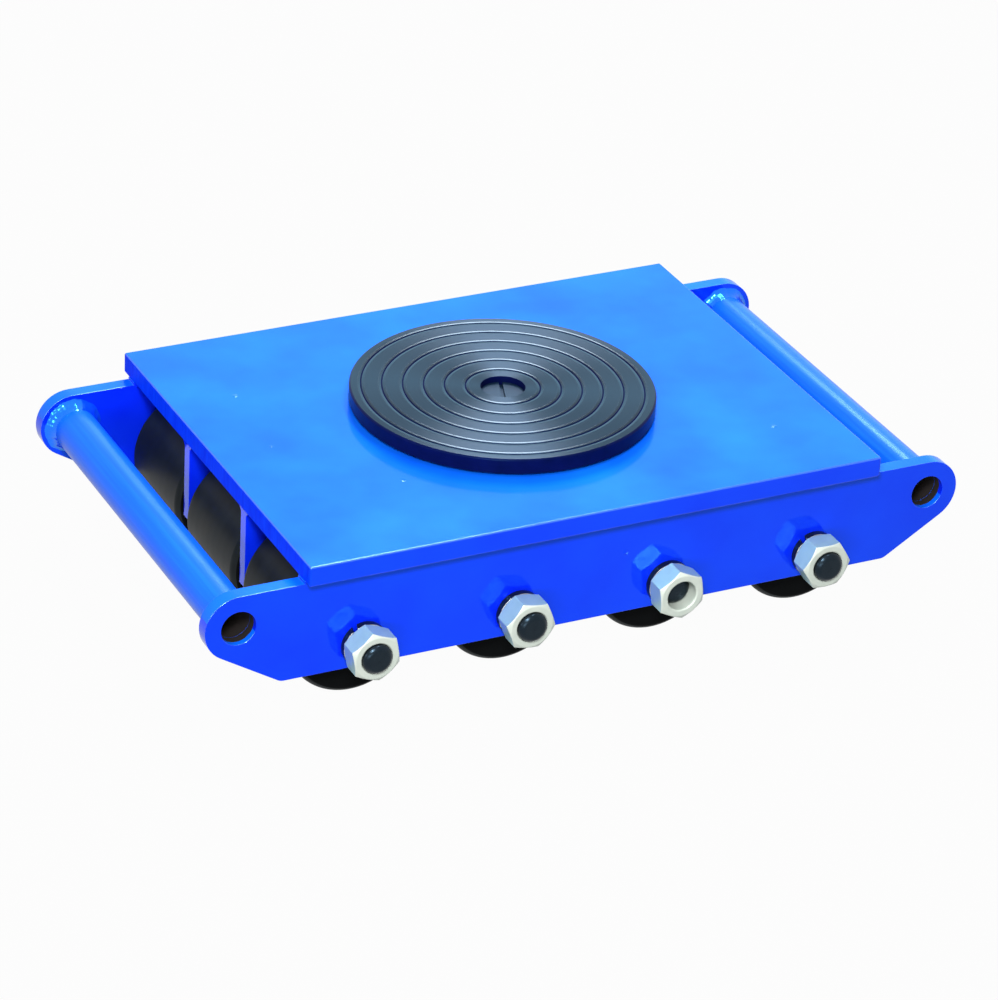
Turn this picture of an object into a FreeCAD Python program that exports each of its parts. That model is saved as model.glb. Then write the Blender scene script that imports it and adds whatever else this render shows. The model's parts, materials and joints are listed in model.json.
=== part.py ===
import FreeCAD, Part
import math
import os

# Machine skate: a welded plate chassis on four axles of three rollers each, with a handle tube
# across each end and a turntable disc on top. Millimetres. X runs along the skate, Y along the
# axles, Z up from the floor under the rollers. The front is the -Y side, the left end is at -X.

Vector = FreeCAD.Vector
X_AXIS = Vector(1, 0, 0)
Y_AXIS = Vector(0, 1, 0)
Z_AXIS = Vector(0, 0, 1)

# Rollers: one row for each bay between the plates
rows = ("front", "middle", "back")
roller_diameter = 86.0
roller_width = 78.3
roller_edge_round = 5.0
roller_gap = 20.1           # between the rollers of neighbouring axles
roller_side_gap = 3.2       # from a roller's end to the plate beside it
roller_head_room = 8.3      # from the rollers up to the deck
roller_core_step = 3.0      # shoulder behind each bearing

# Sealed ball bearings, two in each roller
bearing_section = 13.5      # from the axle out to the bearing's outside
bearing_width = 14.0
inner_ring_wall = 4.0
outer_ring_wall = 4.0
seal_thickness = 1.0
seal_sink = 0.5
seal_gap = 0.1

# Axles: the third is short at the front, so that end lies down inside its nut
axle_shortfalls = (0.0, 0.0, 11.0, 0.0)
axle_diameter = 20.0
axle_proud = 3.6
axle_end_chamfer = 2.0
axle_hole_clearance = 0.25
slip_fit = 0.05             # between pieces of the chassis that slide together and are then clamped

# Axle nuts and spring washers; a turn is the angle of a corner, or of the split, from +X
nut_width = 30.0
nut_height = 16.0
nut_countersink = 0.8
nut_face_share = 0.95       # flat face of a nut, as a share of its width across flats
nut_bevel = 30.0
front_nut_turns = (39.0, 51.0, 36.0, 1.0)
back_nut_turns = (12.0, 33.0, 8.0, 47.0)
washer_section = 5.0
washer_bore_clearance = 0.2
washer_split = 3.0
washer_split_lean = 20.0
front_split_turns = (116.0, 205.0, 250.0, 124.0)
back_split_turns = (70.0, 15.0, 140.0, 300.0)

# Plates
side_thickness = 10.0
divider_thickness = 8.0
plate_drop = 16.1           # plates' lower edge below the axles
divider_end_step = 1.5      # dividers stop this far inside the deck's ends
divider_corner_cut = 12.0
foot_reach = 55.0           # lower corner of a side plate past the outer axle
foot_round = 8.0
deck_thickness = 14.0
deck_overhang = 7.7
deck_end_reach = 40.85      # deck's end past the outer axle
deck_edge_round = 1.2
deck_weld_leg = 4.0         # of the beads under the deck, along the plates

# Handle tubes between the ears of the side plates
tube_diameter = 28.6
tube_wall = 2.8
ear_reach = 42.8            # tube's axis past the deck's end
ear_step = 1.6              # ear's top below the deck
ear_margin = 7.8            # ear's edge outside the tube
tube_weld_leg = 5.0

# Turntable disc
turntable_shift = 3.0       # pivot's axis from the middle of the deck, to the right
disc_diameter = 200.0
disc_thickness = 10.8
disc_lift = 1.7             # gap between the deck and the disc
disc_edge_bevel = 1.0
groove_first_radius = 24.4
groove_pitch = 13.6
groove_width = 2.6
groove_depth = 1.1
groove_rim = 5.0            # least plain rim outside the last groove

# Thrust ball bearing under the disc, half sunk in the deck and half in the disc
thrust_bore = 50.0
thrust_diameter = 70.0
thrust_height = 14.0
thrust_step = 1.0           # lower race's bore and upper race's rim stand back this far
thrust_seat_clearance = 0.1
thrust_ball_diameter = 6.5
thrust_groove_depth = 1.0
thrust_ball_count = 16
ball_clearance = 0.1
cage_gap = 0.25             # above and below the cage, between the deck and the disc
cage_edge = 1.2             # cage metal outside the ball holes
cage_hole_clearance = 0.3

# Slotted pivot screw through the disc and the deck
pivot_diameter = 20.0
pivot_fit = 0.05
pivot_head_diameter = 28.4
pivot_head_height = 5.0
pivot_head_sink = 4.0       # below the disc's top
pivot_head_side_gap = 0.4
pivot_head_lift = 0.3       # keeps the head from clamping the disc
pivot_slot_width = 2.4
pivot_slot_depth = 2.0
pivot_slot_turn = 70.0
pivot_thread_diameter = 16.0
pivot_thread_proud = 2.0
pivot_washer_diameter = 30.0
pivot_washer_thickness = 3.0
pivot_nut_width = 24.0
pivot_nut_height = 13.0
hub_floor_gap = 2.0         # under the disc's hub
hub_fit = 0.2               # between the hub and the upper race

# Places worked out from the sizes above
roller_radius = roller_diameter / 2
axle_height = roller_radius
axle_radius = axle_diameter / 2
axle_pitch = roller_diameter + roller_gap
axle_xs = [(i - (len(axle_shortfalls) - 1) / 2) * axle_pitch for i in range(len(axle_shortfalls))]
outer_axle_x = axle_xs[-1]
bay_width = roller_width + 2 * roller_side_gap
row_pitch = bay_width + divider_thickness
row_ys = [(j - (len(rows) - 1) / 2) * row_pitch for j in range(len(rows))]
divider_ys = [(a + b) / 2 for a, b in zip(row_ys, row_ys[1:])]
inner_y = row_ys[-1] + bay_width / 2
outer_y = inner_y + side_thickness

plate_bottom = axle_height - plate_drop
deck_bottom = axle_height + roller_radius + roller_head_room
deck_top = deck_bottom + deck_thickness
deck_end_x = outer_axle_x + deck_end_reach
deck_edge_y = outer_y + deck_overhang

tube_radius = tube_diameter / 2
tube_bore_radius = tube_radius - tube_wall
ear_radius = tube_radius + ear_margin
ear_x = deck_end_x + ear_reach
ear_z = deck_bottom - ear_step - ear_radius
foot_x = outer_axle_x + foot_reach

bearing_radius = axle_radius + bearing_section
inner_ring_radius = axle_radius + inner_ring_wall
axle_half_length = outer_y + washer_section + nut_height + axle_proud

disc_radius = disc_diameter / 2
disc_bottom = deck_top + disc_lift
disc_top = disc_bottom + disc_thickness
thrust_sink = (thrust_height - disc_lift) / 2
thrust_floor = deck_top - thrust_sink
thrust_middle = thrust_floor + thrust_height / 2
thrust_inner_radius = thrust_bore / 2
thrust_outer_radius = thrust_diameter / 2
thrust_circle = (thrust_inner_radius + thrust_outer_radius) / 2
cage_thickness = disc_lift - 2 * cage_gap
race_thickness = thrust_height / 2 - thrust_ball_diameter / 2 + thrust_groove_depth
hub_bottom = thrust_floor + hub_floor_gap
pivot_head_top = disc_top - pivot_head_sink
pivot_head_bottom = pivot_head_top - pivot_head_height
pivot_end = deck_bottom - pivot_washer_thickness - pivot_nut_height - pivot_thread_proud


def box(x_span, y_span, z_span):
    lengths = [span[1] - span[0] for span in (x_span, y_span, z_span)]
    return Part.makeBox(*lengths, Vector(x_span[0], y_span[0], z_span[0]))


def turned(profile):
    """A piece turned on a lathe: (radius, height) points, spun about Z."""
    points = [Vector(radius, 0, height) for radius, height in profile]
    return Part.Face(Part.makePolygon(points + points[:1])).revolve(Vector(), Z_AXIS, 360)


def ring(outer_radius, inner_radius, height):
    return turned([(inner_radius, 0), (outer_radius, 0), (outer_radius, height), (inner_radius, height)])


def along_y(shape, x, y, z):
    """A copy of a piece made about Z, laid along +Y with its base at the given place."""
    laid = shape.copy()
    laid.rotate(Vector(), X_AXIS, -90)
    laid.translate(Vector(x, y, z))
    return laid


def raised(shape, z):
    lifted = shape.copy()
    lifted.translate(Vector(0, 0, z))
    return lifted


def on_pivot(shape):
    """A copy of a piece made about Z, moved to the turntable's axis."""
    moved = shape.copy()
    moved.translate(Vector(turntable_shift, 0, 0))
    return moved


def hole_along_y(radius, x, z):
    return Part.makeCylinder(radius, 4 * deck_edge_y, Vector(x, -2 * deck_edge_y, z), Y_AXIS)


def extruded(wire, y_span):
    """A plate cut to an outline drawn at y = 0."""
    plate = Part.Face(wire).extrude(Vector(0, y_span[1] - y_span[0], 0))
    plate.translate(Vector(0, y_span[0], 0))
    return plate


def outline(points):
    return Part.makePolygon([Vector(x, 0, z) for x, z in points + points[:1]])


def with_axle_holes(plate):
    radius = axle_radius + axle_hole_clearance
    return plate.cut([hole_along_y(radius, x, axle_height) for x in axle_xs])


def deck_plate():
    plate = box((-deck_end_x, deck_end_x), (-deck_edge_y, deck_edge_y), (deck_bottom, deck_top))
    plate = plate.makeFillet(deck_edge_round, plate.Edges)
    seat_radius = thrust_outer_radius + thrust_seat_clearance
    seat = Part.makeCylinder(seat_radius, 2 * thrust_sink, Vector(0, 0, thrust_floor))
    screw_radius = pivot_thread_diameter / 2 + axle_hole_clearance
    screw_hole = Part.makeCylinder(screw_radius, 2 * deck_top, Vector())
    return plate.cut([on_pivot(seat), on_pivot(screw_hole)])


def ear_end(side):
    """Top, middle and lower tangent point of the arc round one ear; side is -1 or 1."""
    lean = math.atan2(plate_bottom - ear_z, foot_x - ear_x)
    reach = math.hypot(plate_bottom - ear_z, foot_x - ear_x)
    last = lean + math.acos(ear_radius / reach)
    angles = (math.pi / 2, (math.pi / 2 + last) / 2, last)
    return [
        Vector(side * (ear_x + ear_radius * math.cos(a)), 0, ear_z + ear_radius * math.sin(a))
        for a in angles
    ]


def side_plate(side):
    """One long side plate with a round ear at each end; side is -1 at the front, 1 at the back."""
    right = ear_end(1)
    left = ear_end(-1)
    ear_top = deck_bottom - ear_step
    over = [
        Vector(-deck_end_x, 0, ear_top), Vector(-deck_end_x, 0, deck_bottom),
        Vector(deck_end_x, 0, deck_bottom), Vector(deck_end_x, 0, ear_top),
    ]
    feet = [Vector(foot_x, 0, plate_bottom), Vector(-foot_x, 0, plate_bottom)]
    edges = [
        *Part.makePolygon([left[0], *over, right[0]]).Edges,
        Part.Arc(*right).toShape(),
        *Part.makePolygon([right[2], *feet, left[2]]).Edges,
        Part.Arc(*reversed(left)).toShape(),
    ]
    plate = extruded(Part.Wire(edges), sorted((side * inner_y, side * outer_y)))
    foot_edges = [
        edge for edge in plate.Edges
        if all(abs(point.Point.z - plate_bottom) < slip_fit for point in edge.Vertexes)
        and abs(edge.Vertexes[0].X - edge.Vertexes[-1].X) < slip_fit
    ]
    plate = plate.makeFillet(foot_round, foot_edges)
    ear_holes = [hole_along_y(tube_bore_radius, end * ear_x, ear_z) for end in (-1, 1)]
    return with_axle_holes(plate.cut(ear_holes))


def divider(y):
    """A plain plate between two rows of rollers, with its lower corners cut off."""
    end_x = deck_end_x - divider_end_step
    low_x = end_x - divider_corner_cut
    low_z = plate_bottom + divider_corner_cut
    points = [
        (-end_x, deck_bottom), (end_x, deck_bottom), (end_x, low_z),
        (low_x, plate_bottom), (-low_x, plate_bottom), (-end_x, low_z),
    ]
    half = divider_thickness / 2
    return with_axle_holes(extruded(outline(points), (y - half, y + half)))


def handle_tube(end):
    return along_y(ring(tube_radius, tube_bore_radius, 2 * inner_y), end * ear_x, -inner_y, ear_z)


def tube_welds():
    """A fillet bead round each end of both tubes, against the ears."""
    inside = tube_radius + slip_fit
    bead = turned([(inside, 0), (inside + tube_weld_leg, 0), (inside, tube_weld_leg)])
    beads = []
    for end in (-1, 1):
        front = along_y(bead, end * ear_x, -inner_y, ear_z)
        back = front.mirror(Vector(), Y_AXIS)
        beads += [front, back]
    return beads


def deck_welds():
    """A long fillet bead under the deck at each side of the plates that faces a roller bay."""
    end_x = deck_end_x - divider_end_step
    half_bay = bay_width / 2
    beads = []
    for y in row_ys:
        for side in (-1, 1):
            root = y + side * half_bay
            toe = root - side * deck_weld_leg
            corner = [
                Vector(-end_x, root, deck_bottom), Vector(-end_x, toe, deck_bottom),
                Vector(-end_x, root, deck_bottom - deck_weld_leg),
            ]
            section = Part.Face(Part.makePolygon(corner + corner[:1]))
            beads.append(section.extrude(Vector(2 * end_x, 0, 0)))
    return beads


def axle(number):
    radius = axle_radius - axle_end_chamfer
    length = 2 * axle_half_length - axle_shortfalls[number]
    bar = turned([
        (0, 0), (radius, 0), (axle_radius, axle_end_chamfer),
        (axle_radius, length - axle_end_chamfer), (radius, length), (0, length),
    ])
    return along_y(bar, axle_xs[number], axle_shortfalls[number] - axle_half_length, axle_height)


def hex_nut(width, height, bore_radius):
    """A hexagon nut about Z: a turned blank with bevelled corners, cut to six flats."""
    corner_radius = width / math.sqrt(3)
    blank_radius = corner_radius + nut_countersink
    face_radius = nut_face_share * width / 2
    bevel = (blank_radius - face_radius) * math.tan(math.radians(nut_bevel))
    mouth = bore_radius + nut_countersink
    blank = turned([
        (mouth, 0), (face_radius, 0), (blank_radius, bevel),
        (blank_radius, height - bevel), (face_radius, height), (mouth, height),
        (bore_radius, height - nut_countersink), (bore_radius, nut_countersink),
    ])
    corners = [
        Vector(corner_radius * math.cos(k * math.pi / 3), corner_radius * math.sin(k * math.pi / 3), 0)
        for k in range(6)
    ]
    hexagon = Part.Face(Part.makePolygon(corners + corners[:1])).extrude(Vector(0, 0, height))
    return blank.common(hexagon)


def spring_washer():
    """A split square-section ring about Z, with the split at +X."""
    inside = axle_radius + washer_bore_clearance
    outside = inside + washer_section
    washer = ring(outside, inside, washer_section)
    depth = 3 * washer_section
    split = box((0, 2 * outside), (-washer_split / 2, washer_split / 2), (-depth, depth))
    split.rotate(Vector(), X_AXIS, washer_split_lean)
    return washer.cut(split)


def on_axle_ends(shape, y, front_turns, back_turns):
    """A copy on every axle end, each at its own turn, with its base at y from the middle."""
    copies = []
    for x, front_turn, back_turn in zip(axle_xs, front_turns, back_turns):
        back = shape.copy()
        back.rotate(Vector(), Z_AXIS, -back_turn)
        copies.append(along_y(back, x, y, axle_height))
        front = shape.copy()
        front.rotate(Vector(), Z_AXIS, -front_turn)
        front = along_y(front, x, y, axle_height)
        copies.append(front.mirror(Vector(), Y_AXIS))
    return copies


def in_rollers(shape, height, offsets):
    """Copies along every roller, each centred at an offset from the roller's middle."""
    return [
        along_y(shape, x, y + offset - height / 2, axle_height)
        for x in axle_xs for y in row_ys for offset in offsets
    ]


def roller(number, row):
    """One roller, bored right through with a wider seat for a bearing at each end."""
    seat = bearing_radius + slip_fit
    core = bearing_radius - roller_core_step
    far_seat = roller_width - bearing_width
    body = turned([
        (seat, 0), (roller_radius, 0), (roller_radius, roller_width), (seat, roller_width),
        (seat, far_seat), (core, far_seat), (core, bearing_width), (seat, bearing_width),
    ])
    rims = [
        edge for edge in body.Edges
        if edge.Closed and abs(edge.Curve.Radius - roller_radius) < slip_fit
    ]
    body = body.makeFillet(roller_edge_round, rims)
    return along_y(body, axle_xs[number], row_ys[row] - roller_width / 2, axle_height)


def bearing_outer_rings(number, row):
    """The outer rings of one roller's two bearings, each with the seals that it carries."""
    race = bearing_radius - outer_ring_wall
    lip = inner_ring_radius + seal_gap
    first = seal_sink
    second = seal_sink + seal_thickness
    half = [(race, first), (lip, first), (lip, second), (race, second)]
    mirrored = [(radius, bearing_width - height) for radius, height in reversed(half)]
    profile = [(bearing_radius, bearing_width), (bearing_radius, 0), (race, 0)]
    profile += half + mirrored + [(race, bearing_width)]
    outer = turned(profile)
    starts = (-roller_width / 2, roller_width / 2 - bearing_width)
    return [along_y(outer, axle_xs[number], row_ys[row] + y, axle_height) for y in starts]


def turntable_disc():
    """Grooved disc with a hub below that runs on the pivot, and a seat for the upper race."""
    grooves = []
    radius = groove_first_radius
    while radius < disc_radius - groove_rim:
        grooves += [
            (radius + groove_width / 2, disc_top),
            (radius, disc_top - groove_depth),
            (radius - groove_width / 2, disc_top),
        ]
        radius += groove_pitch
    grooves.sort(key=lambda point: -point[0])
    seat_top = disc_bottom + thrust_sink
    hub_radius = thrust_inner_radius - hub_fit
    seat_radius = thrust_outer_radius - thrust_step + thrust_seat_clearance
    well_radius = pivot_head_diameter / 2 + pivot_head_side_gap
    well_floor = pivot_head_bottom - pivot_head_lift
    bore = pivot_diameter / 2 + pivot_fit
    rim = disc_radius - disc_edge_bevel
    return turned([
        (bore, hub_bottom), (hub_radius, hub_bottom), (hub_radius, seat_top), (seat_radius, seat_top),
        (seat_radius, disc_bottom), (rim, disc_bottom), (disc_radius, disc_bottom + disc_edge_bevel),
        (disc_radius, disc_top - disc_edge_bevel), (rim, disc_top), *grooves,
        (well_radius, disc_top), (well_radius, well_floor), (bore, well_floor),
    ])


def thrust_race(inner_radius, outer_radius, base):
    """A flat race with a round groove for the balls."""
    track = Part.makeTorus(thrust_circle, thrust_ball_diameter / 2 + ball_clearance)
    blank = raised(ring(outer_radius, inner_radius, race_thickness), base)
    return blank.cut(raised(track, thrust_middle))


def ball_places():
    steps = [2 * math.pi * k / thrust_ball_count for k in range(thrust_ball_count)]
    return [Vector(thrust_circle * math.cos(a), thrust_circle * math.sin(a), thrust_middle) for a in steps]


def thrust_cage():
    hole_radius = thrust_ball_diameter / 2 + cage_hole_clearance
    half_width = hole_radius + cage_edge
    blank = ring(thrust_circle + half_width, thrust_circle - half_width, cage_thickness)
    cage = raised(blank, thrust_middle - cage_thickness / 2)
    drop = Vector(0, 0, -thrust_ball_diameter)
    depth = 2 * thrust_ball_diameter
    return cage.cut([Part.makeCylinder(hole_radius, depth, place + drop) for place in ball_places()])


def pivot_screw():
    """Slotted head down in the disc's well, a plain shoulder for the disc, then a thread."""
    head = pivot_head_diameter / 2
    shoulder = pivot_diameter / 2
    thread = pivot_thread_diameter / 2
    screw = turned([
        (0, pivot_end), (thread, pivot_end), (thread, thrust_floor), (shoulder, thrust_floor),
        (shoulder, pivot_head_bottom), (head, pivot_head_bottom), (head, pivot_head_top), (0, pivot_head_top),
    ])
    half = pivot_slot_width / 2
    slot = box((-2 * head, 2 * head), (-half, half), (pivot_head_top - pivot_slot_depth, disc_top))
    slot.rotate(Vector(), Z_AXIS, pivot_slot_turn)
    return screw.cut(slot)


def export(name, *solids):
    shape = solids[0] if len(solids) == 1 else Part.makeCompound(solids)
    shape.exportStep(f"parts/{name}.step")


os.makedirs("parts", exist_ok=True)

# Chassis plates, tubes and welds
export("deck_plate", deck_plate())
export("front_side_plate", side_plate(-1))
export("back_side_plate", side_plate(1))
export("front_divider", divider(divider_ys[0]))
export("back_divider", divider(divider_ys[-1]))
export("left_handle_tube", handle_tube(-1))
export("right_handle_tube", handle_tube(1))
export("tube_welds", *tube_welds())
export("deck_welds", *deck_welds())

# Axles, what is clamped on them, and their fasteners
for number in range(len(axle_xs)):
    export(f"axle_{number + 1}", axle(number))
axle_nut = hex_nut(nut_width, nut_height, axle_radius + slip_fit)
nut_base = outer_y + washer_section
export("axle_nuts", *on_axle_ends(axle_nut, nut_base, front_nut_turns, back_nut_turns))
export("spring_washers", *on_axle_ends(spring_washer(), outer_y, front_split_turns, back_split_turns))
on_axle = axle_radius + slip_fit
bearing_offset = (roller_width - bearing_width) / 2
spacer_offset = (roller_width + roller_side_gap) / 2
core_length = roller_width - 2 * bearing_width
inner_ring = ring(inner_ring_radius, on_axle, bearing_width)
spacer_washer = ring(inner_ring_radius, on_axle, roller_side_gap)
spacer_tube = ring(inner_ring_radius, on_axle, core_length)
export("bearing_inner_rings", *in_rollers(inner_ring, bearing_width, (-bearing_offset, bearing_offset)))
export("spacer_washers", *in_rollers(spacer_washer, roller_side_gap, (-spacer_offset, spacer_offset)))
export("spacer_tubes", *in_rollers(spacer_tube, core_length, (0,)))

# Rollers with their bearings
for number in range(len(axle_xs)):
    for row, row_name in enumerate(rows):
        export(f"roller_{number + 1}_{row_name}", roller(number, row))
        export(f"outer_rings_{number + 1}_{row_name}", *bearing_outer_rings(number, row))

# Turntable, made about Z and moved to its pivot
export("turntable_disc", on_pivot(turntable_disc()))
upper_rim = thrust_outer_radius - thrust_step
lower_bore = thrust_inner_radius + thrust_step
upper_base = thrust_floor + thrust_height - race_thickness
export("thrust_upper_race", on_pivot(thrust_race(thrust_inner_radius, upper_rim, upper_base)))
export("thrust_lower_race", on_pivot(thrust_race(lower_bore, thrust_outer_radius, thrust_floor)))
export("thrust_cage", on_pivot(thrust_cage()))
ball_radius = thrust_ball_diameter / 2
export("thrust_balls", *[on_pivot(Part.makeSphere(ball_radius, place)) for place in ball_places()])
export("pivot_screw", on_pivot(pivot_screw()))
pivot_bore = pivot_thread_diameter / 2 + slip_fit
pivot_washer = ring(pivot_washer_diameter / 2, pivot_bore, pivot_washer_thickness)
washer_base = deck_bottom - pivot_washer_thickness
export("pivot_washer", on_pivot(raised(pivot_washer, washer_base)))
pivot_nut = hex_nut(pivot_nut_width, pivot_nut_height, pivot_bore)
export("pivot_nut", on_pivot(raised(pivot_nut, washer_base - pivot_nut_height)))
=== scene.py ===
# %% [markdown]
# # A machine skate in blue enamel
# A machine skate is a low steel trolley that carries a heavy machine across a floor. Two side plates
# stand under a deck plate, four axles with black rollers run between them, a tube across each end
# takes a hand or a tow bar, and the load rests on a grooved disc that turns. The solids come from
# CAD and are the fixed frame here: this lesson gives them rounded edges, weld beads and finishes,
# and lights them. All the work is in metres, in the frame of the solids.

# %% Load the solids
import json
import math

import bmesh
import bpy
from mathutils import Matrix, Vector, noise


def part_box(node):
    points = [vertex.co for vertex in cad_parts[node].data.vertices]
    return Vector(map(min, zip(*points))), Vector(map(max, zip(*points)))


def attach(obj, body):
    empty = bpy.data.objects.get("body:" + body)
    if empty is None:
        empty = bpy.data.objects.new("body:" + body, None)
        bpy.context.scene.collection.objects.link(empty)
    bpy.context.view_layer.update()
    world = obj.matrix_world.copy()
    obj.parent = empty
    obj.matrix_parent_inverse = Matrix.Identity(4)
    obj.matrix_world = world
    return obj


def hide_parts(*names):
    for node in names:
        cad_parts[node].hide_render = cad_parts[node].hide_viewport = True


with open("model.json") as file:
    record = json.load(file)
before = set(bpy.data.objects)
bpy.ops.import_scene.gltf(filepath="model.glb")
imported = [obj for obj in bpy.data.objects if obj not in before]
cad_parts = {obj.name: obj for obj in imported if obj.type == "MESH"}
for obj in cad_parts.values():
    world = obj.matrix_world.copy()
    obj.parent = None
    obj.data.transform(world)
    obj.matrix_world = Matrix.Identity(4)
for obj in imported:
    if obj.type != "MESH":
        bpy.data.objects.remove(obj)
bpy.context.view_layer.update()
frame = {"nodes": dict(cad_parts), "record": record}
nodes = frame["nodes"]
MM = 0.001

# %% [markdown]
# ## The camera
# The photograph was taken with a long lens, from the front left and from above. Placing a camera by
# eye would take many tries, so its angles, distance and focal length were worked out once from the
# deck's corners, the disc's ellipse and the axle ends, and are written down here. The camera is
# built from three directions: to its right, up, and back towards it.

# %% Set the camera
IMAGE_W, IMAGE_H = 998, 1000
focal_px = 4235.9
distance = 2.7867
aim = Vector((0, 0, 43 * MM))
aim_px = (492.82, 492.23)
azimuth, elevation, roll = (math.radians(a) for a in (-27.523, 28.761, 3.300))

away = math.cos(elevation)
back = Vector((math.sin(azimuth) * away, -math.cos(azimuth) * away, math.sin(elevation)))
level = Vector((math.cos(azimuth), math.sin(azimuth), 0))
right = level * math.cos(roll) + back.cross(level) * math.sin(roll)
up = back.cross(right)
per_px = distance / focal_px
off_centre = right * (aim_px[0] - IMAGE_W / 2) * per_px - up * (aim_px[1] - IMAGE_H / 2) * per_px
place = aim + back * distance - off_centre

camera = bpy.data.objects.new("Camera", bpy.data.cameras.new("Camera"))
bpy.context.scene.collection.objects.link(camera)
camera.data.sensor_width = 36
camera.data.lens = focal_px / max(IMAGE_W, IMAGE_H) * camera.data.sensor_width
camera.data.clip_end = 50
camera.matrix_world = Matrix.Translation(place) @ Matrix((right, up, back)).transposed().to_4x4()
bpy.context.scene.camera = camera
bpy.context.scene.view_settings.view_transform = "Standard"
print("lens in mm:", round(camera.data.lens, 1), "camera at:", [round(v, 3) for v in place])

# %% [markdown]
# ## Small helpers for materials
# Colours are written as the hex values that a paint program shows. Blender works in linear light,
# so one function converts them. Another adds a node, sets its properties, and fills each input with
# a plain value or a link, which keeps a node tree as short to read as a list. A third turns a real
# size in millimetres into the scale of a pattern.

# %% Colour, node and scale helpers
def colour(hex_value):
    parts = [int(hex_value[i:i + 2], 16) / 255 for i in (1, 3, 5)]
    return [p / 12.92 if p <= 0.04045 else ((p + 0.055) / 1.055) ** 2.4 for p in parts] + [1.0]


def add(tree, kind, inputs=None, **settings):
    node = tree.nodes.new(kind)
    for name, value in settings.items():
        setattr(node, name, value)
    for key, value in (inputs or {}).items():
        if isinstance(value, bpy.types.NodeSocket):
            tree.links.new(value, node.inputs[key])
        else:
            node.inputs[key].default_value = value
    return node


def per_mm(size):
    """Texture scale that gives features of about this size in millimetres."""
    return 1 / (size * MM)


print("white in linear light:", colour("#ffffff"))

# %% [markdown]
# ## A white studio
# The skate stands in front of pure white. The world and the floor are plain white to the camera, to
# gloss and to glass, and much dimmer as lamps, so that the background is white without flooding the
# paint with light. The floor keeps a soft shadow, and it is clear from below, so that the underside
# can be looked at.

# %% World and floor
lamp_strength, white_strength = 0.15, 1.0
white_share = 0.97
floor_half = 6


def background_rays(tree):
    """1 for rays that show the background: from the camera, off gloss and through glass."""
    rays = add(tree, "ShaderNodeLightPath").outputs
    shown = rays["Is Camera Ray"]
    for kind in ("Is Glossy Ray", "Is Transmission Ray"):
        shown = add(tree, "ShaderNodeMath", {0: shown, 1: rays[kind]}, operation="MAXIMUM").outputs[0]
    return shown


world = bpy.data.worlds.new("White_studio")
bpy.context.scene.world = world
world.use_nodes = True
tree = world.node_tree
strength = add(tree, "ShaderNodeMapRange",
               {"Value": background_rays(tree), "To Min": lamp_strength, "To Max": white_strength})
tree.nodes["Background"].inputs["Color"].default_value = colour("#ffffff")
tree.links.new(strength.outputs[0], tree.nodes["Background"].inputs["Strength"])

floor_paint = bpy.data.materials.new("Pale_floor")
floor_paint.use_nodes = True
tree = floor_paint.node_tree
tree.nodes.remove(tree.nodes["Principled BSDF"])
share = add(tree, "ShaderNodeMath", {0: background_rays(tree), 1: white_share}, operation="MULTIPLY")
matte = add(tree, "ShaderNodeBsdfDiffuse", {"Color": colour("#5c5c5c")})
glow = add(tree, "ShaderNodeEmission", {"Color": colour("#ffffff"), "Strength": white_strength})
above = add(tree, "ShaderNodeMixShader", {0: share.outputs[0], 1: matte.outputs[0], 2: glow.outputs[0]})
below = add(tree, "ShaderNodeBsdfTransparent")
side = add(tree, "ShaderNodeNewGeometry").outputs["Backfacing"]
both = add(tree, "ShaderNodeMixShader", {0: side, 1: above.outputs[0], 2: below.outputs[0]})
tree.links.new(both.outputs[0], tree.nodes["Material Output"].inputs["Surface"])

bm = bmesh.new()
bmesh.ops.create_grid(bm, x_segments=1, y_segments=1, size=floor_half)
floor = bpy.data.objects.new("Floor", bpy.data.meshes.new("Floor"))
bm.to_mesh(floor.data)
bm.free()
floor.data.materials.append(floor_paint)
bpy.context.scene.collection.objects.link(floor)
print("floor in m:", 2 * floor_half, "square")

# %% [markdown]
# ## Soft boxes
# Gloss shows the lamps themselves, so their places matter more than their power. Three hang overhead:
# one for the deck, one that the disc mirrors, and a long strip that draws the bright line on the
# upper edges of the left ears. A pale blue one low behind colours the deck's shine. Three at the
# front and the left light the side plates and put the small highlights on nuts and axle ends.

# %% Lamps
for name, spot, size, power, tint in (
    ("Over_front", (-0.9, -0.55, 1.9), (0.9, 0.9), 5, "#ffffff"),
    ("Over_disc", (0.65, 1.27, 1.82), (0.5, 0.9), 42, "#ffffff"),
    ("Over_edges", (0.47, -0.1, 1.9), (1.2, 0.25), 15, "#ffffff"),
    ("Behind_low", (1.15, 2.2, 0.85), (2.6, 1.1), 12, "#48d0ff"),
    ("Front_left", (-0.8, -1.4, 1.4), (0.4, 0.4), 42, "#ffffff"),
    ("Front_low", (-1.5, -2.5, 0.4), (1.4, 0.6), 22, "#ffffff"),
    ("Left_low", (-2.6, -0.4, 0.7), (1.0, 0.5), 14, "#ffffff"),
):
    lamp = bpy.data.objects.new(name, bpy.data.lights.new(name, "AREA"))
    lamp.data.shape = "RECTANGLE"
    lamp.data.size, lamp.data.size_y = size
    lamp.data.energy = power
    lamp.data.color = colour(tint)[:3]
    lamp.location = spot
    lamp.rotation_euler = (Vector(spot) - aim).to_track_quat("Z", "Y").to_euler()
    bpy.context.scene.collection.objects.link(lamp)
    print("lamp:", name, power, "W")

# %% [markdown]
# ## Blue enamel
# The plates, tubes and welds share one glossy machine enamel, sprayed on hot-rolled steel. It shows a
# fine orange peel from the spray, the slow waviness of the rolled plate and a few nibs of dust under
# the gloss, and its colour drifts with the thickness of the coat. One function makes it, with other
# colours and another shine for each place. Tubes, edges and the deck's ends also show draw or cutting
# lines below the paint, which are noise stretched along them. The gloss is tinted towards the paint,
# as it is in the photograph.

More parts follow.
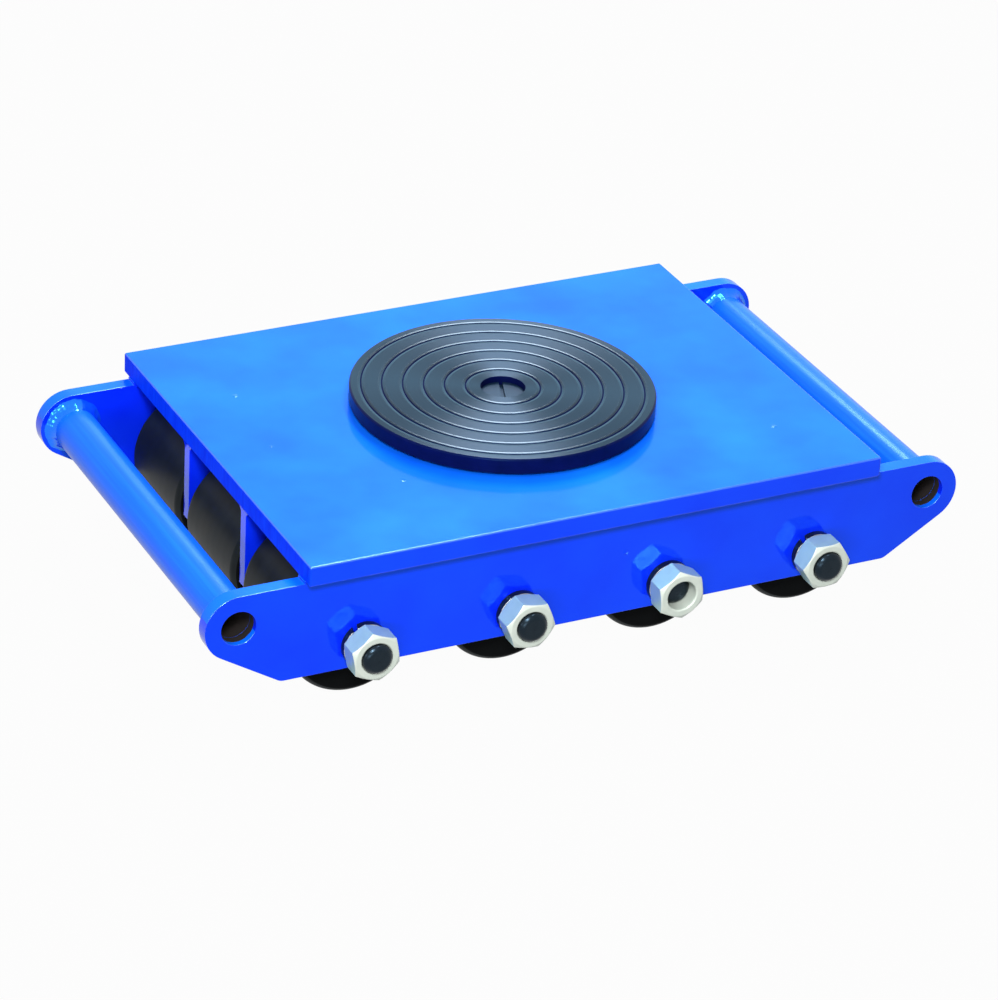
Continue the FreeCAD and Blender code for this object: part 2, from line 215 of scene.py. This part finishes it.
# %% Enamel finish
def new_finish(name):
    """A material with its tree, its shader and Object coordinates."""
    material = bpy.data.materials.new(name)
    material.use_nodes = True
    tree = material.node_tree
    return material, tree, tree.nodes["Principled BSDF"], add(tree, "ShaderNodeTexCoord").outputs["Object"]


def set_surface(shader, **values):
    for name, value in values.items():
        shader.inputs[name.replace("_", " ")].default_value = value


def enamel(name, ior, level, tint, roughness, deep="#0438ee", pale="#0c54ff", drag=None):
    """Sprayed enamel. A drag stretches fine lines along the axis with the small number."""
    coat_mm, wave_mm, peel_mm, nib_mm, line_mm = 70, 60, 2.6, 42, 3.2
    material, tree, shader, where = new_finish(name)
    set_surface(shader, IOR=ior, Specular_IOR_Level=level, Specular_Tint=colour(tint))
    coat = add(tree, "ShaderNodeTexNoise", {"Vector": where, "Scale": per_mm(coat_mm), "Detail": 3.0})
    wave = add(tree, "ShaderNodeTexNoise", {"Vector": where, "Scale": per_mm(wave_mm), "Detail": 1.0})
    peel = add(tree, "ShaderNodeTexNoise", {"Vector": where, "Scale": per_mm(peel_mm), "Detail": 2.0})
    specks = add(tree, "ShaderNodeTexVoronoi", {"Vector": where, "Scale": per_mm(nib_mm)})
    nib = add(tree, "ShaderNodeMapRange",
              {"Value": specks.outputs["Distance"], "From Min": 0.05, "From Max": 0.0})
    drift = coat
    # Each layer of relief is a pattern with its strength and its height in millimetres.
    relief = [(wave.outputs["Fac"], 0.25, 0.6), (peel.outputs["Fac"], 0.12, 0.08),
              (nib.outputs["Result"], 0.45, 0.8)]
    if drag:
        lines = add(tree, "ShaderNodeMapping", {"Vector": where, "Scale": drag})
        drift = add(tree, "ShaderNodeTexNoise", {"Vector": lines.outputs[0], "Scale": per_mm(line_mm),
                                                 "Detail": 4.0, "Roughness": 0.65})
        relief.append((drift.outputs["Fac"], 0.25, 0.6))
    paint = add(tree, "ShaderNodeMix", {"Factor": drift.outputs["Fac"], "A": colour(deep), "B": colour(pale)},
                data_type="RGBA")
    tree.links.new(paint.outputs["Result"], shader.inputs["Base Color"])
    shine = add(tree, "ShaderNodeMapRange",
                {"Value": coat.outputs["Fac"], "To Min": roughness[0], "To Max": roughness[1]})
    tree.links.new(shine.outputs["Result"], shader.inputs["Roughness"])
    normal = None
    for pattern, strength, height in relief:
        bump = add(tree, "ShaderNodeBump", {"Height": pattern, "Strength": strength, "Distance": height * MM})
        if normal:
            tree.links.new(normal, bump.inputs["Normal"])
        normal = bump.outputs["Normal"]
    tree.links.new(normal, shader.inputs["Normal"])
    return material


along_tube, down_edge = (1.0, 0.02, 1.0), (1.0, 1.0, 0.18)
# Rolled plate: smooth and glossy, so that it mirrors the nuts.
blue_enamel = enamel("Enamel_on_rolled_plate", 1.5, 1.0, "#34b8ff", (0.05, 0.09), "#0200e8", "#083cff")
# Upward faces: a paler colour and a softer shine. The paler colour is painted light: it makes the tops
# lighter than the sides, as light from above would.
blue_painted_top_light = enamel("Paler_enamel_with_painted_top_light", 1.25, 0.5, "#40f0ff", (0.09, 0.17), "#0446ee", "#1080ff")
# Drawn tube: a silky shine with long lines.
blue_tube = enamel("Enamel_on_drawn_tube", 1.75, 0.16, "#40f0ff", (0.26, 0.36), "#0448e8", "#1674ff",
                   drag=along_tube)
# Weld beads: a strong shine that sparkles on the ripples.
blue_bead = enamel("Enamel_on_weld_beads", 1.75, 1.0, "#60f8ff", (0.12, 0.2))
# Edges: a thin coat that draws white lines.
blue_edge = enamel("Thin_enamel_on_edges", 1.75, 1.0, "#c0ffff", (0.2, 0.3), drag=down_edge)
# Ends of the deck: dull and dark over the marks of the flame.
blue_end = enamel("Dull_enamel_on_flame_cut_ends", 1.5, 0.03, "#40f0ff", (0.5, 0.6), "#0214d8", "#0c50ff",
                  drag=down_edge)
print("enamel finishes:",
      [m.name for m in (blue_enamel, blue_painted_top_light, blue_tube, blue_bead, blue_edge, blue_end)])

# %% [markdown]
# ## Black nylon, zinc, dark steel
# The rollers are turned from black cast nylon: a soft shine on the tread, with the rings that a lathe
# tool leaves, and dull ends. The nuts have a bright zinc plate with a slightly cloudy shine. Their flats
# are painted darker and cyan: a painted shade and a painted reflection of the blue plates. The axles are
# blackened steel, oily and dark. The spring washers are oiled spring steel, and their edges are painted
# bright steel, a painted highlight. No real surface is one even colour, so one function gives each of
# them soft clouds in its colour and shine.

# %% Roller, nut and axle finishes
def clouded(name, cloud_mm, detail, dark, light, shine=None, grit=0.5, **surface):
    """A finish with soft clouds of a real size in its colour, and in its shine where that is given."""
    material, tree, shader, where = new_finish(name)
    set_surface(shader, **surface)
    cloud = add(tree, "ShaderNodeTexNoise",
                {"Vector": where, "Scale": per_mm(cloud_mm), "Detail": detail, "Roughness": grit})
    tint = add(tree, "ShaderNodeMix", {"Factor": cloud.outputs["Fac"], "A": colour(dark), "B": colour(light)},
               data_type="RGBA")
    tree.links.new(tint.outputs["Result"], shader.inputs["Base Color"])
    if shine:
        gloss = add(tree, "ShaderNodeMapRange",
                    {"Value": cloud.outputs["Fac"], "To Min": shine[0], "To Max": shine[1]})
        tree.links.new(gloss.outputs["Result"], shader.inputs["Roughness"])
    return material, tree, shader, where


def zinc_plate(name, dark, light, metallic):
    """Zinc on a forged nut, with the fine grain of the forging below it."""
    material, tree, shader, where = clouded(name, 6, 3.0, dark, light, (0.28, 0.4), Metallic=metallic)
    grain = add(tree, "ShaderNodeTexNoise", {"Vector": where, "Scale": per_mm(0.9), "Detail": 2.0})
    forged = add(tree, "ShaderNodeBump",
                 {"Height": grain.outputs["Fac"], "Strength": 0.05, "Distance": 0.06 * MM})
    tree.links.new(forged.outputs["Normal"], shader.inputs["Normal"])
    return material


black_nylon, tree, shader, where = clouded("Turned_black_nylon", 18, 4.0, "#020303", "#20272a",
                                           (0.34, 0.55), IOR=1.53, Specular_IOR_Level=0.12)
# Real turning rings are too fine to show, so they are drawn about 9 mm apart: the wave texture has 20
# radians to a unit, and 1.4 mm is one radian.
ring_radian_mm, wave_radians = 1.4, 20
rings = add(tree, "ShaderNodeTexWave", {"Vector": where, "Scale": per_mm(ring_radian_mm) / wave_radians,
                                        "Distortion": 0.6, "Detail": 2.0}, bands_direction="Y")
turned_face = add(tree, "ShaderNodeBump",
                  {"Height": rings.outputs["Fac"], "Strength": 0.15, "Distance": 0.1 * MM})
tree.links.new(turned_face.outputs["Normal"], shader.inputs["Normal"])

nylon_ends = clouded("Dull_nylon_ends", 14, 4.0, "#040506", "#0c0e0f", (0.5, 0.7),
                     IOR=1.53, Specular_IOR_Level=0.03)[0]
zinc = zinc_plate("Bright_zinc_plate", "#bcc8be", "#d2dad0", 0.15)
# The flats' darker cyan zinc is a painted shade and a painted reflection of the blue plates.
zinc_painted_flat_reflection = zinc_plate("Zinc_with_painted_cyan_reflection", "#98c0b8", "#acd0c8", 0.4)
dark_steel = clouded("Blackened_steel", 5, 4.0, "#080c10", "#141a1f", (0.19, 0.3),
                     Specular_IOR_Level=0.28, Specular_Tint=colour("#b0dcff"))[0]
spring_steel = clouded("Oiled_spring_steel", 4, 4.0, "#06080a", "#101316", (0.22, 0.36),
                       Specular_IOR_Level=0.4)[0]
# The washers' edge bands are painted bright steel: a painted highlight line.
washer_edge_painted_highlight = clouded("Steel_edge_with_painted_highlight", 3, 4.0, "#b0b6b8", "#d6dcde", Metallic=0.9, Roughness=0.3)[0]
print("finishes:", [m.name for m in (black_nylon, nylon_ends, zinc, zinc_painted_flat_reflection, dark_steel, spring_steel,
                                     washer_edge_painted_highlight)])

# %% [markdown]
# ## The disc and the hidden steel
# The disc is blackened steel, faced on a lathe. The rings that facing leaves are too fine to model, but
# they spread the light into soft bright sectors in front of and behind the centre. An anisotropic
# shader does the same, along a UV map that runs round the disc. The lips of the grooves are rubbed
# smoother, and the rim and the groove walls keep a darker oxide, painted navy blue as a painted
# reflection of the blue deck. The pivot screw is oiled steel. The bearing steel is ground and clean,
# with black rubber seals. The bore of each handle tube has mill scale with a little rust, as nobody
# paints the inside of a tube.

# %% Disc, bearing and bore finishes
disc_steel, tree, shader, where = clouded("Blackened_faced_steel", 25, 5.0, "#04121e", "#081c2a",
                                          (0.32, 0.38), Specular_IOR_Level=0.278,
                                          Specular_Tint=colour("#50b0ff"), Anisotropic=0.93,
                                          Anisotropic_Rotation=0.25)
turning = add(tree, "ShaderNodeTangent", direction_type="UV_MAP", uv_map="Turning")
tree.links.new(turning.outputs["Tangent"], shader.inputs["Tangent"])

disc_lip = clouded("Rubbed_groove_lips", 6, 4.0, "#041220", "#081a28", (0.14, 0.24),
                   Specular_IOR_Level=0.278, Specular_Tint=colour("#80c8ff"))[0]
# A navy blue base: dark oxide with a painted reflection of the blue deck.
disc_rim_painted_reflection = clouded("Black_oxide_rim_with_painted_blue_reflection", 8, 4.0, "#03082c", "#081048",
                   Specular_IOR_Level=0.08, Specular_Tint=colour("#7ccbff"), Roughness=0.3)[0]
screw_steel = clouded("Oiled_turned_steel", 4, 4.0, "#0a1624", "#122436", (0.3, 0.45),
                      Specular_IOR_Level=0.278, Specular_Tint=colour("#50b0ff"))[0]
ground_steel = clouded("Ground_bearing_steel", 3, 3.0, "#b4b7ba", "#d2d4d6", (0.18, 0.3), Metallic=1.0)[0]
seal_rubber = clouded("Nitrile_bearing_seal", 5, 4.0, "#08090a", "#141618", (0.5, 0.65),
                      IOR=1.5, Specular_IOR_Level=0.2)[0]
# The same dark scale lines the deep walls of the ears' holes, where it is a painted shade.
bore_scale_and_shade = clouded("Mill_scale_with_rust_and_painted_shade", 9, 5.0, "#060608", "#1c100b", grit=0.65, Roughness=0.8)[0]
print("finishes:", [m.name for m in (disc_steel, disc_lip, disc_rim_painted_reflection, screw_steel, ground_steel, seal_rubber,
                                     bore_scale_and_shade)])

# %% [markdown]
# ## From a solid to a finished piece
# A CAD solid arrives as loose triangles with knife-sharp edges, while a real edge is a little round
# and catches the light. So a solid is copied, its triangles are merged back into whole faces, and its
# sharp edges are bevelled. Weighted normals then keep the large faces flat beside the bevels. These
# three functions serve all the pieces below.

# %% Helpers for pieces
MERGE = 1e-6


def piece_from(bm, name, materials, body, replaced=(), flat_faces=True):
    """A finished object from a bmesh, riding on a body in place of the named solids."""
    mesh = bpy.data.meshes.new(name)
    bm.to_mesh(mesh)
    bm.free()
    for material in materials:
        mesh.materials.append(material)
    mesh.shade_smooth()
    piece = bpy.data.objects.new(name, mesh)
    bpy.context.scene.collection.objects.link(piece)
    if flat_faces:
        piece.modifiers.new("Flat_faces", "WEIGHTED_NORMAL").keep_sharp = True
    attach(piece, body)
    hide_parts(*replaced)
    print(name, "faces:", len(mesh.polygons))
    return piece


def round_edges(bm, width, segments=2, least_angle=25):
    """Bevels the sharp edges of a bmesh."""
    sharp = [e for e in bm.edges if e.is_manifold and e.calc_face_angle() > math.radians(least_angle)]
    bmesh.ops.bevel(bm, geom=sharp, offset=width, offset_type="OFFSET", affect="EDGES", segments=segments,
                    profile=0.5, material=-1, clamp_overlap=True)


def whole_faces(node, flatness=0.5):
    """A bmesh copy of a solid with its triangles merged into whole faces, flat to some degrees."""
    bm = bmesh.new()
    bm.from_mesh(nodes[node].data)
    bmesh.ops.remove_doubles(bm, verts=bm.verts, dist=MERGE)
    bmesh.ops.dissolve_limit(bm, angle_limit=math.radians(flatness), verts=bm.verts, edges=bm.edges)
    return bm


print("solids are merged where points lie within", MERGE / MM, "mm")

# %% [markdown]
# ## Plates with rounded edges
# The side plates and dividers get a wide soft bevel. A cut through each plate marks where the walls of
# the ears' holes turn dark, a painted shade deeper in. Upward faces get the paler enamel, a painted top
# light, and upper corners the thin coat.
# The deck is already rounded in the solid. Its two ends were flame cut, so they get the dull finish
# with drag lines.

# %% Round the plates and finish the deck
bore_radius, hole_shade_depth, slack = 11.5 * MM, 4 * MM, 0.1 * MM
plate_bevel = 2.0 * MM
# The least part of a face's normal, up or sideways, that makes it one of these.
upward, corner_out, corner_up = 0.3, 0.15, 0.25
deck_end, deck_top, deck_edge = 0.9, 0.95, 0.2
tube_centres = [sum(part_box(side + "_handle_tube"), Vector()) / 2 for side in ("left", "right")]


def in_shaded_bore(face, shaded_y):
    """True for a face inside the hole of an ear, deeper than where the painted shade of the wall begins."""
    return any(all(math.hypot(v.co.x - c.x, v.co.z - c.z) < bore_radius + slack
                   and abs(v.co.y) < shaded_y + slack for v in face.verts) for c in tube_centres)


for node in ("front_side_plate", "back_side_plate", "front_divider", "back_divider"):
    bm = whole_faces(node)
    round_edges(bm, plate_bevel, segments=4)
    outer_y = max((corner.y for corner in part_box(node)), key=abs)
    shaded_y = abs(outer_y) - hole_shade_depth
    bmesh.ops.bisect_plane(bm, geom=bm.verts[:] + bm.edges[:] + bm.faces[:],
                           plane_co=(0, math.copysign(shaded_y, outer_y), 0), plane_no=(0, 1, 0))
    for face in bm.faces:
        corner = abs(face.normal.y) > corner_out and face.normal.z > corner_up
        # Deep in the ears' holes the walls get the dark mill scale: a painted shade.
        shaded_wall = in_shaded_bore(face, shaded_y)
        # Index 1 is the paler enamel on upward faces, a painted top light.
        face.material_index = 2 if shaded_wall else 3 if corner else int(face.normal.z > upward)
    piece_from(bm, "Round_edged_" + node, [blue_enamel, blue_painted_top_light, bore_scale_and_shade, blue_edge],
               "chassis", [node])

bm = whole_faces("deck_plate")
for face in bm.faces:
    end = abs(face.normal.x) > deck_end
    up_part = face.normal.z
    # Index 1, the deck's top, gets the paler enamel, a painted top light.
    face.material_index = 3 if end else 1 if up_part > deck_top else 2 if up_part > deck_edge else 0
piece_from(bm, "Deck_with_flowed_top", [blue_enamel, blue_painted_top_light, blue_edge, blue_end],
           "chassis", ["deck_plate"])

# %% [markdown]
# ## Turned pieces
# The tubes, axles and disc are round, so each is a profile of a few points spun about its axis. One
# function does that with the spin operator. A profile that starts and ends on the axis stays open,
# any other is closed into a ring. The axles' ends curve over gently, as a lathe hand files them.

# %% Handle tubes and axles
def turned(profile, centre, axis, steps, closed=True):
    """Spins (radius, height) points, in metres, about an axis through the centre."""
    bm = bmesh.new()
    out = Vector((1, 0, 0))
    points = [bm.verts.new(centre + out * radius + axis * height) for radius, height in profile]
    pairs = list(zip(points, points[1:])) + ([(points[-1], points[0])] if closed else [])
    edges = [bm.edges.new(pair) for pair in pairs]
    bmesh.ops.spin(bm, geom=points + edges, cent=centre, axis=axis, dvec=(0, 0, 0), angle=2 * math.pi,
                   steps=steps, use_merge=True, use_duplicate=False)
    bmesh.ops.remove_doubles(bm, verts=bm.verts, dist=MERGE)
    bmesh.ops.recalc_face_normals(bm, faces=bm.faces)
    return bm


ALONG_AXLES, UPWARDS = Vector((0, 1, 0)), Vector((0, 0, 1))
wall_margin = MM
for side, centre in zip(("left", "right"), tube_centres):
    low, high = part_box(side + "_handle_tube")
    radius, half = (high.z - low.z) / 2, (high.y - low.y) / 2
    profile = [(bore_radius, -half), (radius, -half), (radius, half), (bore_radius, half)]
    bm = turned(profile, centre, ALONG_AXLES, steps=96)
    for face in bm.faces:
        off_axis = face.calc_center_median() - centre
        face.material_index = int(math.hypot(off_axis.x, off_axis.z) < bore_radius + wall_margin)
    piece_from(bm, side.title() + "_tube", [blue_tube, bore_scale_and_shade], "chassis",
               [side + "_handle_tube"])

# Millimetres in from the axle's side and down from its end.
CHAMFER = [(10.0, 0.0), (4.0, 0.03), (2.9, 0.1), (2.1, 0.4), (1.3, 1.0), (0.5, 1.75), (0.12, 2.3), (0.0, 3.0)]
for number in range(1, 5):
    node = "axle_%d" % number
    low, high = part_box(node)
    centre = (low + high) / 2
    radius, half = (high.z - low.z) / 2, (high.y - low.y) / 2
    end = [(radius - inset * MM, half - drop * MM) for inset, drop in CHAMFER]
    profile = end + [(r, -h) for r, h in reversed(end)]
    bm = turned(profile, centre, ALONG_AXLES, steps=64, closed=False)
    piece_from(bm, "Axle_%d_with_chamfered_ends" % number, [dark_steel], "chassis", [node])

# %% [markdown]
# ## Weld beads
# Where each tube meets its ears a welder has laid a bead. It is a chain of small frozen ripples, never
# quite even. A closed profile is spun round the tube, and each section then swells or shrinks with a
# ripple and some noise.

# %% Spin the beads and ripple them
# The bead's section, in legs: out from the tube and away from the ear.
BEAD = [(0.0, 0.0), (1.2, 0.0), (0.98, 0.07), (0.77, 0.17), (0.57, 0.32), (0.4, 0.52), (0.26, 0.77),
        (0.14, 1.05), (0.05, 1.34), (0.0, 1.6)]
leg, sink = 5.4 * MM, 0.4 * MM
lump_spread, lump_height, seed_spread = 3.2, 0.16, 40
ripple_count, ripple_height, ripple_wander = 26, 0.015, 3


def swell(turn, seed):
    """How thick the bead is at an angle round the tube, where 1 is its plain size."""
    lumps = noise.noise(Vector((lump_spread * math.cos(turn), lump_spread * math.sin(turn), seed)))
    ripple = ripple_height * math.sin(ripple_count * turn + ripple_wander * lumps)
    return 1.0 + lump_height * lumps + ripple


beads = bmesh.new()
low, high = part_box("left_handle_tube")
tube_radius = (high.z - low.z) / 2
for centre, side in [(c, s) for c in tube_centres for s in (-1, 1)]:
    face_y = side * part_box("back_side_plate")[0].y
    profile = [(tube_radius - sink + leg * a, -side * (leg * b - sink)) for a, b in BEAD]
    root = Vector((centre.x, face_y, centre.z))
    bm = turned(profile, root, ALONG_AXLES, steps=144)
    seed = root.x * seed_spread + side
    for vert in bm.verts:
        flat = Vector((vert.co.x - root.x, 0, vert.co.z - root.z))
        turn = math.atan2(flat.z, flat.x)
        corner = root + flat.normalized() * (tube_radius - sink) + ALONG_AXLES * side * sink
        vert.co = corner + (vert.co - corner) * swell(turn, seed)
    part = bpy.data.meshes.new("bead")
    bm.to_mesh(part)
    bm.free()
    beads.from_mesh(part)
    bpy.data.meshes.remove(part)
piece_from(beads, "Rippled_tube_welds", [blue_bead], "chassis", ["tube_welds"],
           flat_faces=False)

# %% [markdown]
# ## Nuts, spring washers and the pivot screw
# The fasteners keep their CAD shape. Copies of them get small bevels, because a forged nut and a
# coiled washer have no knife edges, and a bright line along each edge is what makes them look real.
# The flats of the axle nuts get a darker cyan zinc, a painted shade and a painted reflection of the
# blue plates, and the bevels of the washers are painted bright steel, a painted highlight.

# %% Round the fasteners' edges
axle_centres = [sum(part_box("axle_%d" % number), Vector()) / 2 for number in range(1, 5)]
nut_bore = 12 * MM
flat_limit, highlight_least, highlight_most = 0.2, 0.5, 0.97
for node, name, width, flatness, material, slot in (
    ("axle_nuts", "Forged_axle_nuts", 0.35, 0.5, zinc, "zinc_plate"),
    ("spring_washers", "Coiled_spring_washers", 0.45, 6, spring_steel, "dark_steel"),
    ("pivot_screw", "Slotted_pivot_screw", 0.4, 0.5, screw_steel, "screw_steel"),
    ("pivot_nut", "Forged_pivot_nut", 0.35, 0.5, zinc, "zinc_plate"),
):
    bm = whole_faces(node, flatness)
    round_edges(bm, width * MM)
    for face in bm.faces:
        spot = face.calc_center_median()
        off_axle = min(math.hypot(spot.x - c.x, spot.z - c.z) for c in axle_centres)
        lean = abs(face.normal.y)
        # Flats of the axle nuts get the darker cyan zinc: a painted shade and a painted reflection.
        flat = node == "axle_nuts" and lean < flat_limit and off_axle > nut_bore
        # The washers' bevels get the bright steel, a painted highlight line.
        highlight_band = node == "spring_washers" and highlight_least < lean < highlight_most
        face.material_index = 1 if flat else 2 if highlight_band else 0
    piece_from(bm, name, [material, zinc_painted_flat_reflection, washer_edge_painted_highlight], "chassis", [node])

# %% [markdown]
# ## Rollers and their bearings
# The floor polishes a roller's tread, while its two ends keep the dull face that the lathe left. The
# bearing in it shows a ground steel ring with a black seal inside. The shapes are right as they are,
# so copies of the solids get a small bevel and a second finish. Where a face points tells tread from
# end, and how far it lies from the axle tells ring from seal.

# %% Give the rollers dull ends and the bearings black seals
seal_edge = 20.5 * MM
roller_bevel = 0.3 * MM
roller_end = 0.9
subparts = frame["record"]["subparts"]
for node in (part["node"] for part in subparts if part["material_slot"] == "black_nylon"):
    bm = whole_faces(node)
    round_edges(bm, roller_bevel)
    for face in bm.faces:
        face.material_index = int(abs(face.normal.y) > roller_end)
    piece_from(bm, "Turned_" + node, [black_nylon, nylon_ends], node, [node])

    rings = node.replace("roller", "outer_rings")
    bm = whole_faces(rings)
    round_edges(bm, roller_bevel)
    axis = sum(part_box(rings), Vector()) / 2
    for face in bm.faces:
        reach = max(math.hypot(v.co.x - axis.x, v.co.z - axis.z) for v in face.verts)
        face.material_index = int(reach < seal_edge)
    piece_from(bm, "Sealed_" + rings, [ground_steel, seal_rubber], node, [rings])

# %% [markdown]
# ## The turntable disc
# The disc's profile has grip grooves, a well for the pivot screw and a hub below. The lips of the
# grooves are rounded after the spin, and they draw the bright arcs that the photograph shows. The UV
# map holds the angle round the disc and the distance from its centre, for the marks of the lathe.

# %% Spin the disc
low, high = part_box("turntable_disc")
centre = (low + high) / 2
top, rim = high.z, high.x - centre.x
# Millimetres out from a groove's middle and down from the disc's top.
lip = [(2.4, 0.0), (1.9, 0.03), (1.0, 0.18), (0.55, 0.32), (0.35, 0.55), (0.25, 0.95)]
groove_count, first_groove, groove_pitch = 6, 24.4, 13.6
grooves = []
for number in reversed(range(groove_count)):
    middle = first_groove + groove_pitch * number
    grooves += [((middle + out) * MM, top - drop * MM) for out, drop in lip]
    grooves += [((middle - out) * MM, top - drop * MM) for out, drop in reversed(lip)]
screw_hole, well_side, hub_side, seat_side = 10.05 * MM, 14.6 * MM, 24.8 * MM, 34.1 * MM
disc_depth, seat_depth, well_depth = 10.8 * MM, 6.15 * MM, 9.3 * MM
rim_chamfer, lip_bevel = MM, 0.4 * MM
under, hub = top - disc_depth, low.z
seat = under + seat_depth
well = top - well_depth
profile = [
    (screw_hole, hub), (hub_side, hub), (hub_side, seat), (seat_side, seat), (seat_side, under),
    (rim - rim_chamfer, under), (rim, under + rim_chamfer), (rim, top - rim_chamfer),
    (rim - rim_chamfer, top), *grooves, (well_side, top), (well_side, well), (screw_hole, well),
]
bm = turned(profile, Vector((centre.x, centre.y, 0)), UPWARDS, steps=256)
round_edges(bm, lip_bevel, segments=2, least_angle=40)

level_top, lip_top = 0.9995, 0.94
turning = bm.loops.layers.uv.new("Turning")
for face in bm.faces:
    # Index 2, the rim, the groove walls and the underside, has the navy blue base: a painted reflection of
    # the blue deck.
    face.material_index = 0 if face.normal.z > level_top else 1 if face.normal.z > lip_top else 2
    middle = face.calc_center_median() - centre
    for loop in face.loops:
        arm = loop.vert.co - centre
        swing = middle.xy.angle_signed(arm.xy) if middle.xy.length > 0 and arm.xy.length > 0 else 0.0
        loop[turning].uv = (math.atan2(middle.y, middle.x) - swing, arm.xy.length / MM)
piece_from(bm, "Grooved_disc", [disc_steel, disc_lip, disc_rim_painted_reflection], "turntable",
           ["turntable_disc"])

# %% [markdown]
# ## Finishes for the solids that stay
# The rings on the axles, the spacers, the thrust bearing under the disc and the beads under the deck
# already have their true shape, so they only get their finish, chosen by the slot that the record
# gives each of them.

# %% Assign the remaining finishes
by_slot = {
    "blue_enamel": blue_enamel, "black_nylon": black_nylon, "zinc_plate": zinc, "dark_steel": dark_steel,
    "bearing_steel": ground_steel, "disc_slate": disc_steel, "screw_steel": screw_steel,
}
for part in subparts:
    solid = nodes[part["node"]]
    solid.data.materials.clear()
    solid.data.materials.append(by_slot[part["material_slot"]])
print("solids with a finish:", len(subparts))
